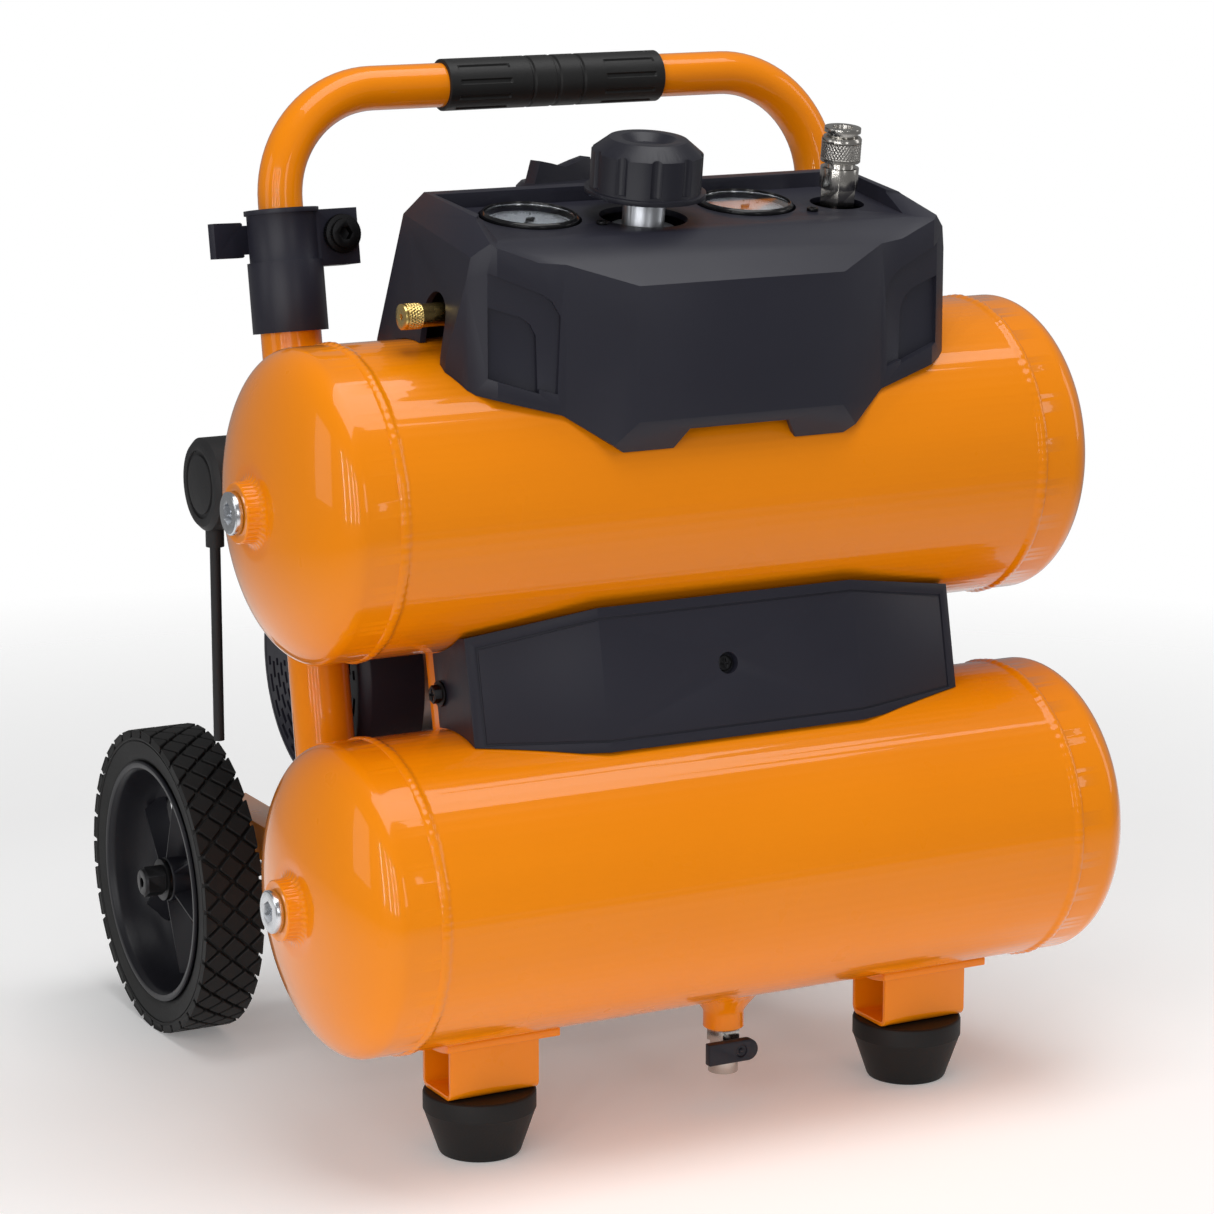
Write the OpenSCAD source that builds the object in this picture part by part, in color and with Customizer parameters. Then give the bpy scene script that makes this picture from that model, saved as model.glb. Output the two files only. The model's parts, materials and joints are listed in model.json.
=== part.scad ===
// Wheeled air compressor with two stacked tanks, a rear pump and a lift-up handle. Millimetres.

/* [Tanks] */
// Outer radius of both tanks
tank_r = 95; // [80:1:120]
// Half-length of the straight shell, up to where the end domes begin
tank_half = 242.5; // [180:0.5:320]
// Depth of each end dome
dome_depth = 35.5; // [20:0.5:50]
// Sheet thickness of shell and domes
tank_wall = 3; // [2:0.5:5]
// Distance of each circumferential weld from the middle
seam_x = 220; // [160:1:300]
// Height of the lower tank's axis above the floor
low_z = 171; // [150:1:200]
// Height of the upper tank's axis above the floor
up_z = 402; // [370:1:440]
// How far the upper tank is set back from the lower one
set_back = 50; // [0:1:80]

/* [Front feet] */
// Distance of each foot from the middle
foot_x = 154; // [100:1:200]
// Height of a rubber foot
foot_h = 40; // [25:1:60]
// Radius of a foot's upper band
foot_top_r = 35; // [25:1:45]
// Radius of a foot where it meets the floor
foot_base_r = 25.5; // [18:0.5:40]

/* [Uprights and handle] */
// Distance of each upright from the middle
up_x = 193.5; // [160:0.5:230]
// Outer radius of the fixed tube
post_r = 19; // [16:0.5:24]
// Outer radius of the sliding tube
slide_r = 14; // [10:0.5:18]
// Wall of both tubes
tube_wall = 1.5; // [1:0.25:3]
// Lean of the uprights towards the back, in degrees
lean = 9.5; // [0:0.5:15]
// Bend radius of the handle tube
bend_r = 68; // [50:1:90]
// Height of the handle bar along the tube, above the middle of the upright
bar_h = 337.8; // [330:0.1:380]
// Half-length of the rubber grip
grip_half = 77; // [50:1:100]

/* [Wheels] */
// Radius of the tyre
wheel_r = 102; // [80:1:125]
// Width of the tyre
tyre_w = 40; // [30:1:60]
// Outer face of the tyre from the middle
wheel_out = 244.5; // [220:0.5:260]
// How far the axle is behind the lower tank's axis
wheel_back = 316.5; // [280:0.5:380]
// Radius of the axle
axle_r = 6; // [5:0.5:8]

/* [Console] */
// Forward tilt of the control panel, in degrees
panel_tilt = 7.5; // [0:0.5:15]
// Height of the panel's front edge
panel_z = 560; // [545:1:580]
// Plastic thickness of the console
skin = 4; // [2:0.5:5]
// Rise of the rim over the panel
rim_h = 9; // [4:1:14]
// Radius of each gauge's bezel
bezel_r = 30; // [25:0.5:35]

/* [Pump] */
// How far the pump's shaft is behind the lower tank's axis
pump_back = 212; // [200:1:240]
// Height of the pump's shaft
pump_z = 262; // [240:1:290]
// Radius of the motor housing
motor_r = 60; // [50:1:70]
// Distance of each cylinder from the middle
cyl_x = 88; // [80:1:100]
// Piston radius
piston_r = 26; // [22:1:30]
// Half the piston stroke
throw = 9; // [6:0.5:10]
// Radius of the fan covers
cowl_r = 82; // [75:1:90]
// Radius of the motor shaft
shaft_r = 8; // [6:0.5:10]

/* [Hidden] */
$fn = 48;
gap = 0.3;
run = 0.05;
paint = [0.84, 0.47, 0.03];
black = [0.06, 0.06, 0.07];
rubber = [0.04, 0.04, 0.04];
zinc = [0.72, 0.72, 0.70];
brass = [0.78, 0.62, 0.28];
alloy = [0.66, 0.67, 0.68];
mid_y = (wheel_back + wheel_r - tank_r) / 2;
low_y = -mid_y;
up_y = low_y + set_back;
wheel_y = low_y + wheel_back;
pump_y = low_y + pump_back;
post_y = low_y + 148.8;
post_z = 300;
boss_x = tank_half + dome_depth + 9;
rail_in = 164;
rail_out = 188;
rail_z = 148;
panel_y = low_y - 10;
gauge_x = [-95, 54];
gauge_s = 54;
gauge_drop = 2.5;
knob_x = -25.5;
knob_s = 39;
coupler_x = 113.5;
coupler_s = 43;
man_y = low_y + 31;
man_z = 523;
switch_x = -30;
switch_y = low_y + 130;
valve_x = 17.5;
clamp_z = 247.5;
lug_x = 33;
head_z = pump_z + 100.3;
sil_y = low_y + 240;
sil_z = 383;

module both() {
    children();
    mirror([1, 0, 0]) children();
}

// Lays a shape built along Z along X
module along_x() {
    rotate([0, 90, 0]) children();
}

// The panel's own frame: origin on the panel, s back from its front edge, Z out of the panel
module on_panel(x, s, h = 0) {
    translate([x, panel_y, panel_z]) rotate([panel_tilt, 0, 0]) translate([0, s, h]) children();
}

// The frame of one upright: Z runs up its axis
module on_post(side) {
    translate([side * up_x, post_y, post_z]) rotate([-lean, 0, 0]) children();
}

module ring(r_out, r_in, h) {
    difference() {
        cylinder(r = r_out, h = h);
        translate([0, 0, -1]) cylinder(r = r_in, h = h + 2);
    }
}

function dome(r, depth, x) = [for (k = [0 : 12]) let (t = k * 7.5) [r * cos(t), x + depth * sin(t)]];

// One welded tank with a raised bead at each seam and a threaded boss in each dome
module tank(y, z) {
    inner = tank_r - tank_wall;
    translate([0, y, z]) difference() {
        union() {
            both() along_x() rotate_extrude() polygon(concat([[0, 0], [tank_r, 0], [tank_r, seam_x - 4],
                [tank_r + 1.6, seam_x - 2], [tank_r + 1.6, seam_x + 2], [tank_r, seam_x + 4]],
                dome(tank_r, dome_depth, tank_half)));
            both() translate([boss_x - 20, 0, 0]) along_x() cylinder(r = 18.5, h = 20);
            both() translate([boss_x - 13, 0, 0]) along_x() cylinder(r1 = 26, r2 = 18.5, h = 7);
        }
        both() along_x() rotate_extrude() polygon(concat([[0, 0], [inner, 0]],
            dome(inner, dome_depth - tank_wall, tank_half)));
        both() translate([boss_x - 25, 0, 0]) along_x() cylinder(r = 10.3, h = 30);
    }
}

module lower_tank() color(paint) difference() {
    union() {
        tank(low_y, low_z);
        translate([valve_x, low_y, 53]) difference() {
            union() {
                cylinder(r = 13, h = 12);
                translate([0, 0, 11]) cylinder(r1 = 13, r2 = 21, h = 15);
            }
            translate([0, 0, low_z - 53]) along_x() cylinder(r = tank_r - 1, h = 90, center = true);
        }
    }
    translate([valve_x, low_y, 50]) cylinder(r = 6.6, h = 40);
    link_bore();
}

module upper_tank() color(paint) difference() {
    tank(up_y, up_z);
    link_bore();
    translate([0, low_y + 40, up_z + 60]) cylinder(r = 8.3, h = 60);
    translate([0, low_y + 60, head_z + 9]) rotate([-90, 0, 0]) cylinder(r = 8.3, h = 110);
    translate([switch_x, switch_y, up_z]) cylinder(r = 7.3, h = 100);
}

// The frame of the line from the lower tank's axis to the upper one's
module between_tanks() {
    translate([0, low_y, low_z]) rotate([-atan2(set_back, up_z - low_z), 0, 0]) children();
}

module link_bore() {
    between_tanks() translate([120, 0, 60]) cylinder(r = 11.3, h = 120);
}

module link_pipe() color(paint) between_tanks() translate([120, 0, 85]) ring(11, 8, 66);

// Channel at each end between the tanks, and the strip that takes the cover's middle screw
module tank_ties() color(paint) between_tanks() difference() {
    union() {
        both() difference() {
            translate([128, -26, 75]) cube([34, 52, 86]);
            translate([125, -22, 70]) cube([34, 44, 96]);
        }
        translate([-18, -30, 70]) cube([30, 3, 96]);
    }
    for (h = [0, norm([set_back, up_z - low_z])]) translate([-200, 0, h]) along_x()
        cylinder(r = tank_r + gap, h = 400);
    both() translate([155, -7, 116.8]) along_x() cylinder(r = 3.7, h = 10);
    translate([-3, -20, 116.8]) rotate([90, 0, 0]) cylinder(r = 3.2, h = 20);
}

module tank_plugs() color(zinc) for (tank = [[low_y, low_z], [up_y, up_z]])
    translate([0, tank[0], tank[1]]) both() translate([boss_x, 0, 0]) along_x() difference() {
        union() {
            translate([0, 0, gap]) cylinder(r = 13, h = 4);
            translate([0, 0, 4]) cylinder(r1 = 13, r2 = 12, h = 1);
            translate([0, 0, -12]) cylinder(r = 10, h = 13);
        }
        translate([0, 0, -5]) cylinder(r = 6.9, h = 12, $fn = 6);
    }

// Bar along X, 2 * half wide, with its two lower edges rounded
module rounded_channel(half, r, h) {
    translate([0, -half, r]) cube([60, 2 * half, h - r]);
    translate([0, -half + r, 0]) cube([60, 2 * half - 2 * r, r + 1]);
    for (y = [-half + r, half - r]) translate([0, y, r]) along_x() cylinder(r = r, h = 60);
}

module foot_brackets() color(paint) for (side = [-1, 1]) translate([side * foot_x, low_y, 0]) difference() {
    union() {
        translate([-29, 0, foot_h + gap]) difference() {
            rounded_channel(20, 6, 40);
            translate([-1, 0, 3]) rounded_channel(17, 3, 60);
        }
        translate([-34, 0, low_z]) intersection() {
            along_x() cylinder(r = tank_r + 5, h = 76);
            translate([-1, -27, -110]) cube([80, 54, 40]);
        }
    }
    translate([-100, 0, low_z]) along_x() cylinder(r = tank_r + gap, h = 200);
    translate([0, 0, 30]) cylinder(r = 4.2, h = 40);
}

module foot(side) color(rubber) translate([side * foot_x, low_y, 0]) difference() {
    union() {
        translate([0, 0, foot_h - 1.5]) cylinder(r1 = foot_top_r, r2 = foot_top_r - 1.5, h = 1.5);
        translate([0, 0, foot_h - 12]) cylinder(r = foot_top_r, h = 10.6);
        translate([0, 0, 1.5]) cylinder(r1 = foot_base_r, r2 = foot_top_r, h = foot_h - 13.4);
        cylinder(r1 = foot_base_r - 1.5, r2 = foot_base_r, h = 1.6);
    }
    translate([0, 0, foot_h - 15]) cylinder(r = 4.2, h = 20);
}

module left_foot() foot(-1);
module right_foot() foot(1);

module upright(side) color(paint) on_post(side) translate([0, 0, -147]) ring(post_r, post_r - tube_wall, 365);

module left_upright() upright(-1);
module right_upright() upright(1);

// Square side rail with the hanging axle plate welded to its outer face
module rail(side) color(paint) mirror([side < 0 ? 1 : 0, 0, 0]) difference() {
    union() {
        difference() {
            translate([rail_in, low_y + 92.6, rail_z - 24]) cube([rail_out - rail_in, wheel_back - 70, 24]);
            translate([rail_in + 2, low_y + 80, rail_z - 22]) cube([rail_out - rail_in - 4, wheel_back, 20]);
        }
        translate([rail_out - 5, wheel_y - 24, wheel_r - 20]) cube([5, 46, rail_z - wheel_r + 20]);
    }
    translate([rail_in - 5, wheel_y, wheel_r]) along_x() cylinder(r = axle_r + run, h = 40);
}

module left_rail() rail(-1);
module right_rail() rail(1);

module pump_deck() color(black) difference() {
    translate([-rail_in + gap, low_y + 150, rail_z - 3]) cube([2 * rail_in - 2 * gap, 150, 3]);
    for (x = [-120, 120], y = [180, 244]) translate([x, low_y + y, rail_z - 10]) cylinder(r = 12, h = 20);
}

module axle() color(zinc) translate([-wheel_out - 1, wheel_y, wheel_r]) along_x()
    cylinder(r = axle_r, h = 2 * wheel_out + 2);

// Flanged cap nuts with a small hole in the end
module axle_nuts() color(black) both() translate([wheel_out - 11.7, wheel_y, wheel_r]) along_x()
    difference() {
        union() {
            cylinder(r = 14, h = 3);
            translate([0, 0, 3]) cylinder(r = 10.5, h = 12, $fn = 6);
            translate([0, 0, 15]) cylinder(r1 = 9.5, r2 = 8.3, h = 1.7);
        }
        translate([0, 0, -1]) cylinder(r = axle_r + run, h = 14);
        translate([0, 0, 12]) cylinder(r = 3.2, h = 6);
    }

// Tyre section: flat tread with square shoulders, smooth side walls, round in the rim's seat
module tyre(side) color(rubber) translate([side * (wheel_out - tyre_w / 2), wheel_y, wheel_r]) along_x()
    rotate_extrude($fn = 96) difference() {
        polygon([[78.3, -15], [83, -18.5], [90, -19.5], [97, -20], [100.5, -19.4], [102, -17.5], [102, 17.5],
            [100.5, 19.4], [97, 20], [90, 19.5], [83, 18.5], [78.3, 15]]);
        for (s = [-1, 1]) translate([96, s * 20.6]) circle(r = 1.2, $fn = 24);
        for (x = [-8, 8]) translate([102, x]) circle(r = 1.8, $fn = 24);
    }

module left_tyre() tyre(-1);
module right_tyre() tyre(1);

// Moulded rim: outer barrel, deep-set web with six spokes, hub with the axle bore
module rim(side) color(black) translate([side * (wheel_out - tyre_w / 2), wheel_y, wheel_r])
    mirror([side < 0 ? 1 : 0, 0, 0]) along_x() difference() {
        union() {
            rotate_extrude($fn = 96) polygon([[72, -16], [78, -15], [78, 15], [81, 18.5], [79.5, 20],
                [76, 19], [72, 13]]);
            translate([0, 0, -12]) cylinder(r = 73, h = 4);
            translate([0, 0, -20]) cylinder(r = 15, h = 28);
            for (a = [0 : 60 : 300]) rotate([0, 0, a]) translate([12, -1.5, -12]) rotate([90, 0, 0])
                translate([0, 0, -3]) linear_extrude(3) polygon([[0, 0], [0, 15], [61, 8], [61, 0]]);
        }
        for (a = [30 : 60 : 330]) rotate([0, 0, a]) translate([0, 0, -20]) linear_extrude(20)
            polygon([[25, -2.5], [60, -17], [63, 0], [60, 17], [25, 2.5]]);
        translate([0, 0, -30]) cylinder(r = axle_r + run, h = 60);
    }

module left_rim() rim(-1);
module right_rim() rim(1);

// Console outline in three directions; t shrinks it for the hollow
module console_form(t, rise) {
    front = low_y - (rise > 0 ? 31 : 50) + t;
    top = panel_z + rise - t;
    back = 92 * tan(panel_tilt);
    intersection() {
        translate([-200, 0, 0]) rotate([90, 0, 90]) linear_extrude(400) polygon([
            [front + 10, 400], [front + 10, 434], [front, 454], [front, rise > 0 ? 560 : 535 - t],
            [rise > 0 ? front + 9 : panel_y, top], [low_y + 82 - t, top + back],
            [low_y + 100 - t, 480], [low_y + 100 - t, 400]]);
        linear_extrude(700) for (m = [0, 1]) mirror([m, 0, 0]) polygon([
            [-1, low_y - 50 + t], [70 - t / 2, low_y - 50 + t], [108 - t / 2, low_y - 30 + t],
            [150 - t, low_y - 23 + t], [164.5 - t, low_y - 11.5 + t], [176 - t, low_y + 8],
            [176 - t, low_y + 110], [-1, low_y + 110]]);
        rotate([90, 0, 0]) linear_extrude(600, center = true) polygon([[-177 + t, 400], [-172 + t, 492],
            [-160 + t, 568], [-148 + t, 600], [148 - t, 600], [160 - t, 568], [172 - t, 492],
            [177 - t, 400]]);
    }
}

// What the rim stands around, and the ramps by which its two ends run down to the front
module console_pocket() {
    linear_extrude(700) for (m = [0, 1]) mirror([m, 0, 0]) polygon([[-1, low_y - 80], [70, low_y - 80],
        [70, low_y - 50], [128, low_y - 12], [140, low_y - 2], [143.5, low_y + 74], [-1, low_y + 74]]);
    both() translate([146, low_y, 566]) rotate([90, 0, 35]) linear_extrude(160, center = true)
        polygon([[-60, -28], [-8, -6.2], [7, 5.8], [7, 60], [-60, 60]]);
}

// Two nested steps pressed into the slanted front face at each side
module cheek_steps() {
    both() translate([-163, low_y - 21, 0]) rotate([0, 0, -9.3]) rotate([90, 0, 0]) {
        translate([0, 0, -3]) linear_extrude(20)
            polygon([[6.5, 545], [40, 531], [47, 526], [52, 517], [50, 471], [6.5, 484]]);
        translate([0, 0, -6]) linear_extrude(20)
            polygon([[8, 524], [28, 517.5], [34, 513], [37.5, 506], [38.5, 472], [8, 482]]);
    }
}

module console_shell() color(black) difference() {
    union() {
        console_form(0, 0);
        difference() {
            console_form(0, rim_h);
            console_pocket();
        }
    }
    difference() {
        console_form(skin, 0);
        both() translate([-163, low_y - 21, 440]) rotate([0, 0, -9.3]) translate([-4, 0, 0]) cube([64, 10, 112]);
    }
    both() on_panel(0, -60, rim_h) rotate([-90, 0, 0]) linear_extrude(220)
        polygon([[144, -3], [168, 21], [200, 21], [200, -3]]);
    translate([-300, up_y, up_z]) along_x() cylinder(r = tank_r + gap, h = 600);
    translate([0, low_y - 100, 0]) rotate([-90, 0, 0]) linear_extrude(140) for (m = [0, 1]) mirror([m, 0, 0])
        polygon([[-1, -300], [200, -300], [200, -476], [168, -474], [110, -458], [76, -435], [42, -435],
            [34, -447], [-1, -447]]);
    for (x = gauge_x) on_panel(x, gauge_s, -40) cylinder(r = bezel_r + 1.5, h = 80);
    on_panel(knob_x, knob_s, -40) cylinder(r = 27, h = 80);
    on_panel(coupler_x, coupler_s, -40) cylinder(r = 17, h = 80);
    for (x = [knob_x - 34, 87]) on_panel(x, 28, -20) cylinder(r = 2.3, h = 30);
    translate([-220, low_y + 24, 514]) {
        along_x() cylinder(r = 15, h = 80);
        translate([0, -15, -60]) cube([80, 30, 60]);
    }
    cheek_steps();
}

module panel_screws() color(black) for (x = [knob_x - 34, 87]) on_panel(x, 28, gap) difference() {
    union() {
        cylinder(r = 3.6, h = 1.6);
        translate([0, 0, -12]) cylinder(r = 2, h = 13);
    }
    translate([0, 0, 0.8]) for (a = [0, 90]) rotate([0, 0, a]) cube([4.4, 1, 2], center = true);
}

module gauge_cups() color(black) for (x = gauge_x) on_panel(x, gauge_s, -gauge_drop) difference() {
    union() {
        translate([0, 0, -20]) cylinder(r = 28, h = 20.1);
        cylinder(r = bezel_r, h = 4);
        translate([0, 0, 4]) cylinder(r1 = bezel_r, r2 = bezel_r - 1.5, h = 1.5);
        translate([0, 0, -29]) cylinder(r = 7, h = 10);
    }
    translate([0, 0, -17]) cylinder(r = 26.5, h = 19.2);
    translate([0, 0, 2]) cylinder(r = 27.7, h = 10);
}

module gauge_dials() color([0.92, 0.93, 0.94]) for (x = gauge_x) on_panel(x, gauge_s, -2 - gauge_drop)
    ring(26.2, 1.5, 0.8);

module gauge_lenses() color([0.8, 0.85, 0.9, 0.35]) for (x = gauge_x) on_panel(x, gauge_s, 2.5 - gauge_drop)
    cylinder(r = 27.4, h = 1.5);

module needle(x, turn) color([0.05, 0.05, 0.05]) on_panel(x, gauge_s, -0.9 - gauge_drop)
    rotate([0, 0, turn]) {
    cylinder(r = 2.6, h = 1.4);
    translate([0, 0, -2]) cylinder(r = 1.45, h = 2.5);
    translate([0, 0, 0.2]) linear_extrude(0.6) polygon([[-7, -1.2], [-7, 1.2], [22, 0.3], [22, -0.3]]);
}

module left_needle() needle(gauge_x[0], 225);
module right_needle() needle(gauge_x[1], 225);

// Air block under the panel, with the riser that screws into the upper tank
module manifold() color(alloy) difference() {
    union() {
        translate([-112, man_y - 11, man_z - 11]) cube([244, 22, 20]);
        translate([0, low_y + 40, up_z + 88]) cylinder(r = 8, h = man_z - up_z - 95);
    }
    translate([-120, man_y, man_z]) along_x() cylinder(r = 5, h = 225);
    on_panel(knob_x, knob_s, -60) cylinder(r = 9.3, h = 40);
    on_panel(coupler_x, coupler_s, -60) cylinder(r = 8.3, h = 40);
}

module regulator_body() color(zinc) on_panel(knob_x, knob_s) difference() {
    union() {
        translate([0, 0, -43]) cylinder(r = 9, h = 12);
        translate([0, 0, -24]) cylinder(r = 20, h = 18);
        translate([0, 0, -31.2]) cylinder(r = 15, h = 8);
        translate([0, 0, -7]) cylinder(r = 13, h = 25);
    }
    translate([0, 0, 8]) cylinder(r = 6.05, h = 20);
    for (a = [20, 200]) rotate([0, 0, a]) translate([9, 0, 11]) rotate([0, 90, 0]) cylinder(r = 1.2, h = 6);
}

// Fluted adjusting knob with a wide skirt and a dished top
module regulator_knob() color(black) on_panel(knob_x, knob_s) difference() {
    union() {
        translate([0, 0, 14.5]) cylinder(r = 37, h = 3);
        translate([0, 0, 17.5]) cylinder(r = 34, h = 23);
        translate([0, 0, 40.5]) cylinder(r1 = 34, r2 = 24, h = 8);
    }
    for (a = [0 : 36 : 324]) rotate([0, 0, a]) translate([36.5, 0, 19]) cylinder(r = 4.2, h = 40);
    translate([0, 0, 44]) cylinder(r1 = 11, r2 = 19, h = 6);
    translate([0, 0, 14]) ring(31, 8.5, 4.6);
    translate([0, 0, 13]) cylinder(r = 13.4, h = 5.6);
    translate([0, 0, 34]) cylinder(r = 3.2, h = 12);
}

module coupler_body() color(zinc) on_panel(coupler_x, coupler_s) difference() {
    union() {
        translate([0, 0, -43]) cylinder(r = 8, h = 42);
        translate([0, 0, -1]) cylinder(r = 12.1, h = 11, $fn = 6);
        translate([0, 0, 10]) cylinder(r = 12, h = 13);
        translate([0, 0, 23]) cylinder(r = 9.5, h = 24);
        translate([0, 0, 45]) cylinder(r = 11.4, h = 3);
    }
    translate([0, 0, 8]) cylinder(r = 6.4, h = 45);
    translate([0, 0, -50]) cylinder(r = 4, h = 60);
}

module coupler_sleeve() color(zinc) on_panel(coupler_x, coupler_s, 26.5) difference() {
    union() {
        cylinder(r = 12.5, h = 14);
        translate([0, 0, 14]) cylinder(r1 = 12.5, r2 = 11.5, h = 2);
    }
    translate([0, 0, -1]) cylinder(r = 9.55, h = 20);
    for (z = [1.5, 12.5]) translate([0, 0, z]) ring(14, 12, 0.8);
}

module relief_valve() color(brass) translate([-192, low_y + 20, 516]) along_x() difference() {
    union() {
        cylinder(r = 7.7, h = 12);
        translate([0, 0, 12]) cylinder(r = 7, h = 18);
        translate([0, 0, 30]) cylinder(r = 6, h = 30);
        translate([0, 0, 57]) cylinder(r = 11.5, h = 22.4, $fn = 6);
    }
    for (z = [2, 4, 6, 8, 10]) translate([0, 0, z]) ring(10, 7.1, 0.9);
    translate([0, 0, -1]) cylinder(r = 1.6, h = 12);
}

module pressure_switch() color(black) difference() {
    union() {
        translate([switch_x - 30, switch_y - 25, 508]) cube([60, 50, 55]);
        translate([switch_x, switch_y, 563]) cylinder(r = 24, h = 6);
        translate([switch_x, switch_y, 449]) cylinder(r = 7, h = 60);
    }
    translate([switch_x, switch_y, 560]) cylinder(r = 5.05, h = 20);
}

module switch_knob() color(black) translate([switch_x, switch_y, 569.3]) {
    cylinder(r = 4.98, h = 1);
    translate([0, 0, -8]) cylinder(r = 5, h = 9);
    cylinder(r = 28, h = 5);
    translate([0, 0, 5]) cylinder(r1 = 28, r2 = 25, h = 3);
    translate([0, 0, 8]) rotate([0, 0, 12]) translate([0, 5, 0]) rotate([90, 0, 0]) linear_extrude(10)
        polygon([[-25, -1], [25, -1], [20, 14], [11, 12], [0, 9], [-11, 12], [-20, 14]]);
}

// The cover's own frame: origin at its lower edge, Y into the machine, Z up its face
module on_cover() {
    translate([0, low_y - 49, 255]) rotate([-12, 0, 0]) children();
}

// Moulded cover between the tanks: three facets, with a groove round the face
module cover_band(t0, t1) {
    linear_extrude(100) for (m = [0, 1]) mirror([m, 0, 0]) polygon([[-1, t0], [89, t0], [169, 19 + t0],
        [169, 19 + t1], [88, t1], [-1, t1]]);
}

module cover_face(inset) {
    rotate([90, 0, 0]) linear_extrude(120, center = true) for (m = [0, 1]) mirror([m, 0, 0])
        polygon([[-1, inset], [88, inset], [169 - inset, 6 + inset], [169 - inset, 77 - inset],
            [88, 87 - inset], [-1, 87 - inset]]);
}

module mid_cover() color(black) difference() {
    on_cover() difference() {
        union() {
            intersection() {
                cover_band(0, 3);
                cover_face(0);
            }
            both() translate([166, 20, 9]) cube([3, 46, 68]);
            translate([-3, 2, 45]) rotate([-90, 0, 0]) cylinder(r = 8.6, h = 32.7);
        }
        intersection() {
            cover_band(-1, 0.9);
            difference() {
                cover_face(6);
                cover_face(7.5);
            }
        }
        translate([-3, 50, 45]) rotate([90, 0, 0]) cylinder(r = 3.2, h = 70);
        translate([-3, 6.6, 45]) rotate([90, 0, 0]) cylinder(r = 6.7, h = 8.6);
        both() translate([160, 59, 44.4]) along_x() cylinder(r = 3.2, h = 20);
    }
    for (tank = [[low_y, low_z], [up_y, up_z]]) translate([-300, tank[0], tank[1]]) along_x()
        cylinder(r = tank_r + 0.6, h = 600);
}

// One long screw through the middle, and a hex screw through each end into its tie
module cover_screws() color(black) on_cover() {
    translate([-3, 6.3, 45]) rotate([-90, 0, 0]) difference() {
        union() {
            translate([0, 0, -2.4]) cylinder(r = 4.9, h = 2.4);
            cylinder(r = 2.9, h = 37);
        }
        translate([0, 0, -2.4]) for (a = [0, 90]) rotate([0, 0, a]) cube([6, 1.2, 2], center = true);
    }
    both() translate([169.3, 59, 44.4]) along_x() difference() {
        union() {
            cylinder(r = 8, h = 1.6);
            cylinder(r = 5.8, h = 6, $fn = 6);
            translate([0, 0, -12]) cylinder(r = 2.9, h = 12.1);
        }
        translate([0, 0, 6]) for (a = [0, 90]) rotate([0, 0, a]) cube([7, 1.4, 3], center = true);
    }
}

module terminal_box() color(black) translate([0, pump_y + motor_r + gap, pump_z]) difference() {
    union() {
        translate([-34, 0, -26]) cube([68, 26, 52]);
        translate([-31, 25, -23]) cube([62, 5, 46]);
    }
    translate([0, 20, -6]) rotate([-90, 0, 0]) cylinder(r = 8.3, h = 20);
}

module cable_gland() color(black) translate([0, pump_y + motor_r + 24.7, pump_z - 6]) rotate([-90, 0, 0])
    difference() {
        union() {
            cylinder(r = 8, h = 6.5);
            translate([0, 0, 6]) cylinder(r = 11.5, h = 6, $fn = 6);
            translate([0, 0, 12]) cylinder(r1 = 10.5, r2 = 8, h = 9.3);
        }
        translate([0, 0, -1]) cylinder(r = 4.5, h = 40);
    }

module drain_valve() color(zinc) translate([valve_x, low_y, 24]) difference() {
    union() {
        cylinder(r = 9.5, h = 12);
        translate([0, 0, 11]) cylinder(r = 8.5, h = 12);
        translate([0, 0, 22]) cylinder(r = 11.8, h = 6.7, $fn = 6);
        translate([0, 0, 28]) cylinder(r = 6.3, h = 19);
        translate([0, 0, 18]) rotate([90, 0, 0]) cylinder(r = 5, h = 14);
    }
    translate([0, 0, -1]) cylinder(r = 4.5, h = 60);
}

module drain_lever() color(black) translate([valve_x, low_y - 14.3, 42]) rotate([90, 0, 0]) difference() {
    union() {
        translate([-21, -7, 0]) cube([28, 14, 6]);
        translate([7, 0, 0]) cylinder(r = 7, h = 6);
    }
    translate([2, 0, 4.5]) ring(4, 1.4, 3);
}

module motor_housing() color(black) translate([0, pump_y, pump_z]) difference() {
    union() {
        translate([-48, 0, 0]) along_x() cylinder(r = motor_r - 4, h = 96);
        for (a = [0 : 20 : 340]) rotate([a, 0, 0]) translate([-44, -1.5, 0]) cube([88, 3, motor_r]);
        both() translate([48, 0, 0]) along_x() cylinder(r = motor_r, h = 8);
        translate([-30, 40, -22]) cube([60, motor_r - 40, 44]);
    }
    translate([-46, 0, 0]) along_x() cylinder(r = 48, h = 92);
    translate([-70, 0, 0]) along_x() cylinder(r = shaft_r + run, h = 140);
}

// Shaft, core and the two eccentrics that drive the pistons
module rotor() color(zinc) translate([0, pump_y, pump_z]) {
    translate([-158, 0, 0]) along_x() cylinder(r = shaft_r, h = 316);
    translate([-40, 0, 0]) along_x() cylinder(r = 44, h = 80);
    both() translate([cyl_x - 8, 0, -throw]) along_x() cylinder(r = 18, h = 16);
}

module fans() color(black) translate([0, pump_y, pump_z]) both() translate([132, 0, 0]) along_x()
    difference() {
        union() {
            cylinder(r = 20, h = 20);
            translate([0, 0, 16]) cylinder(r = 60, h = 2);
            for (a = [0 : 40 : 320]) rotate([0, 0, a]) translate([17, -1, 2]) cube([51, 2, 15]);
        }
        translate([0, 0, -1]) cylinder(r = shaft_r + run, h = 30);
    }

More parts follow.
